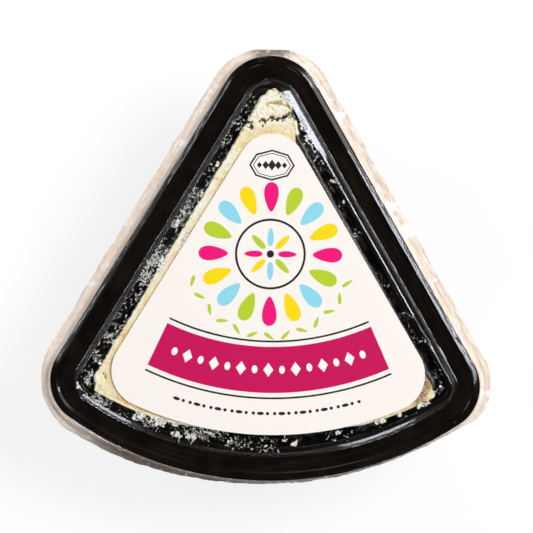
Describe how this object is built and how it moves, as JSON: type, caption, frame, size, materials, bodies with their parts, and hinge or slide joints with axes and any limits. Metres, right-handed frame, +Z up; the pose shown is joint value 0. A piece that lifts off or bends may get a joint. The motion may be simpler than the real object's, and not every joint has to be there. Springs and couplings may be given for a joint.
{
  "type": "sealed wedge pack of blue cheese",
  "caption": "Wedge of blue-veined cheese in a black formed tray with a flanged rim, sealed under clear crinkled film with a round-cornered paper label on top.",
  "frame": {"origin": "middle of the pack's footprint, on the surface that it rests on", "axes": "+Z up out of the label, +Y towards the tip of the wedge, +X to the right with the tip away from the viewer"},
  "size_m": [0.1228, 0.1184, 0.0329],
  "materials": {
    "tray_plastic": "deep black thermoformed sheet, glossy",
    "blue_cheese": "moist crumbly pale yellow cheese with blue-grey veins",
    "clear_film": "clear flexible film, glossy, crinkled at its margin",
    "label_paper": "smooth cream paper with printed colour fields"
  },
  "bodies": {
    "root": {"tray": "tray_plastic", "cheese": "blue_cheese", "lid_film": "clear_film", "label": "label_paper"}
  },
  "joints": []
}
